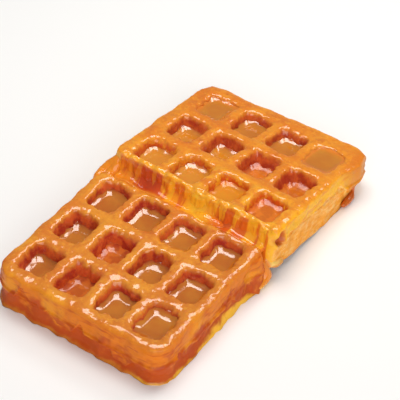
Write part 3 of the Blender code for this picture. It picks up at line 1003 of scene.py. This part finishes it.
def half_places():
    """Place and turn of each half, from where the solids lie."""
    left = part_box("caramel_front_2_1")
    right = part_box("caramel_front_2_4")
    middle = (left[0] + left[1] + right[0] + right[1]) / 4
    front = Vector((middle.x, middle.y, 0.0))
    front_turn = Matrix.Rotation(FRONT_YAW, 3, "Z")
    rear_turn = Matrix.Rotation(REAR_YAW, 3, "Z") @ Matrix.Rotation(-REAR_TILT, 3, "X")
    lift = (HALF_ALONG + SHOULDER_OUT) * math.sin(REAR_TILT)
    rear = front + Vector((*REAR_STEP, lift))
    return {"front": (front, front_turn, 1.0, FRONT_POOLS), "rear": (rear, rear_turn, -1.0, REAR_POOLS)}


def wall_inset(drop):
    """How far a pocket's ring stands in from the middle of the rib, as a part of the cell, at a depth."""
    for (_, outer, above), (_, inner, below) in zip(UPPER_RING[::-1], UPPER_RING[-2::-1]):
        if below >= drop:
            share = (drop - above) / max(below - above, 1e-6)
            return outer + (inner - outer) * share
    return UPPER_RING[1][WIDE]


def pool_points(name, pools, side):
    """Mesh of one point for each pool, with its centre, its level, its extent and whether it is red."""
    centres = []
    extents = []
    reds = []
    for row, depths in enumerate(pools, start=1):
        for column, depth in enumerate(depths, start=1):
            x = (column - (COLUMNS + 1) / 2) * PITCH_ACROSS
            y = ((ROWS + 1) / 2 - row) * PITCH_ALONG * side
            width = wall_inset(depth * MM / POCKET_DEPTH)
            centres.append((x, y, THICKNESS - depth * MM))
            extents.append((width * PITCH_ACROSS / 2 + POOL_LAP, width * PITCH_ALONG / 2 + POOL_LAP,
                            THICKNESS - POCKET_DEPTH - POOL_BELOW))
            reds.append(float((row, column) in RED_POCKETS[name]))
    mesh = bpy.data.meshes.new(f"pool_points_{name}")
    mesh.from_pydata([(0.0, 0.0, 0.0)] * len(centres), [], [])
    for label, values in (("centre", centres), ("extent", extents)):
        attribute = mesh.attributes.new(label, "FLOAT_VECTOR", "POINT")
        attribute.data.foreach_set("vector", [part for value in values for part in value])
    red = mesh.attributes.new("red", "FLOAT", "POINT")
    red.data.foreach_set("value", reds)
    return mesh


def add_halves(crust, caramel):
    """Both halves of the waffle and the pools in their pockets."""
    shape = half_tree()
    pools = pool_tree()
    for name, (place, turn, side, depths) in half_places().items():
        angles = tuple(turn.to_euler())
        half = grown(f"crust_{name}", shape, {
            "Cut Side": side, "Seed": NOISE_SHIFT * side, "Place": tuple(place), "Turn": angles,
            "Material": crust, **HALF_FORMS[name],
        })
        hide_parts(f"waffle_half_{name}")
        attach(half, "root")
        filled = grown(f"pools_{name}", pools, {
            "Seed": NOISE_SHIFT * side, "Place": tuple(place), "Turn": angles, "Material": caramel,
        }, pool_points(name, depths, side))
        spots = [(row, column) for row in range(1, ROWS + 1) for column in range(1, COLUMNS + 1)]
        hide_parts(*[f"caramel_{name}_{row}_{column}" for row, column in spots])
        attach(filled, "root")


def cut_plane(place, turn, side):
    """A cut face as y = base + slope * x + lean * z."""
    point = place + turn @ Vector((0.0, side * HALF_ALONG, 0.0))
    normal = turn @ Vector((0.0, 1.0, 0.0))
    slope = -normal.x / normal.y
    lean = -normal.z / normal.y
    return point.y - slope * point.x - lean * point.z, slope, lean


def add_join(glaze):
    """The caramel that holds the two halves together."""
    places = half_places()
    front_y, front_slope, _ = cut_plane(*places["front"][:3])
    rear_y, rear_slope, rear_lean = cut_plane(*places["rear"][:3])
    join = grown("caramel_bead", join_tree(), {
        "Front Y": front_y, "Front Slope": front_slope, "Rear Y": rear_y + rear_lean * THICKNESS,
        "Rear Slope": rear_slope, "Rear Lean": rear_lean, "Material": glaze,
    })
    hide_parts("caramel_join")
    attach(join, "root")


def drip_points():
    """Mesh of points along every drip, with the radius at each."""
    places = []
    radii = []
    for stations in DRIPS.values():
        for start, end in zip(stations, stations[1:]):
            for step in range(DRIP_STEPS):
                share = step / DRIP_STEPS
                *place, radius = [first + (last - first) * share for first, last in zip(start, end)]
                places.append(Vector(place) * MM)
                radii.append(radius * MM)
    mesh = bpy.data.meshes.new("drip_points")
    mesh.from_pydata(places, [], [])
    thick = mesh.attributes.new("thick", "FLOAT", "POINT")
    thick.data.foreach_set("value", radii)
    return mesh


def add_drips(glaze):
    """Thick drips of glaze at the right corners, under the raised edge, on the cut and at its left end."""
    drips = grown("glaze_drips", drip_tree(), {"Material": glaze}, drip_points())
    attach(drips, "root")


def add_camera():
    """Camera at the photograph's viewing angle."""
    back = Vector((math.sin(CAMERA_AZIMUTH) * math.cos(CAMERA_HEIGHT),
                   -math.cos(CAMERA_AZIMUTH) * math.cos(CAMERA_HEIGHT), math.sin(CAMERA_HEIGHT)))
    level = Vector((math.cos(CAMERA_AZIMUTH), math.sin(CAMERA_AZIMUTH), 0.0))
    upright = back.cross(level)
    right = level * math.cos(CAMERA_ROLL) + upright * math.sin(CAMERA_ROLL)
    up = upright * math.cos(CAMERA_ROLL) - level * math.sin(CAMERA_ROLL)
    data = bpy.data.cameras.new("camera")
    data.sensor_width = SENSOR_MM
    data.lens = CAMERA_LENS_PIXELS / FRAME_PIXELS * SENSOR_MM
    data.clip_start = 0.01
    data.clip_end = 20.0
    camera = added("camera", data)
    turn = Matrix((right, up, back)).transposed().to_4x4()
    camera.matrix_world = Matrix.Translation(CAMERA_TARGET + back * CAMERA_DISTANCE) @ turn
    bpy.context.scene.camera = camera


def add_floor():
    """Plain pale floor that isn't part of the waffle."""
    mesh = bpy.data.meshes.new("floor")
    corners = [(x * FLOOR_REACH, y * FLOOR_REACH, 0.0) for x, y in ((-1, -1), (1, -1), (1, 1), (-1, 1))]
    mesh.from_pydata(corners, [], [(0, 1, 2, 3)])
    floor = added("floor", mesh)
    material, _, shader = new_material("pale_floor")
    Wire.fill(shader, {"Base Color": FLOOR_COLOUR, "Roughness": 0.7})
    mesh.materials.append(material)


def add_light(name, place, aim, width, height, power, colour):
    """A soft rectangular lamp that points at a spot."""
    data = bpy.data.lights.new(name, "AREA")
    data.shape = "RECTANGLE"
    data.size = width
    data.size_y = height
    data.energy = power
    data.color = colour
    lamp = added(name, data)
    lamp.location = place
    lamp.rotation_euler = (Vector(aim) - Vector(place)).to_track_quat("-Z", "Y").to_euler()


def add_studio():
    """Soft lamps overhead and behind, a wide fill from the front, and a pale surround."""
    for name, lamp in LAMPS.items():
        add_light(name, *lamp)
    world = bpy.data.worlds.new("surround")
    bpy.context.scene.world = world
    world.use_nodes = True
    background = world.node_tree.nodes["Background"]
    background.inputs["Color"].default_value = (1.0, 1.0, 1.0, 1.0)
    background.inputs["Strength"].default_value = SURROUND_STRENGTH
    bpy.context.scene.view_settings.view_transform = "Standard"


def main():
    """Loads the frame and adds every piece."""
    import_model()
    add_camera()
    add_floor()
    add_studio()
    add_halves(crust_material(), caramel_material())
    add_join(glaze_material())
    add_drips(drip_material())


main()
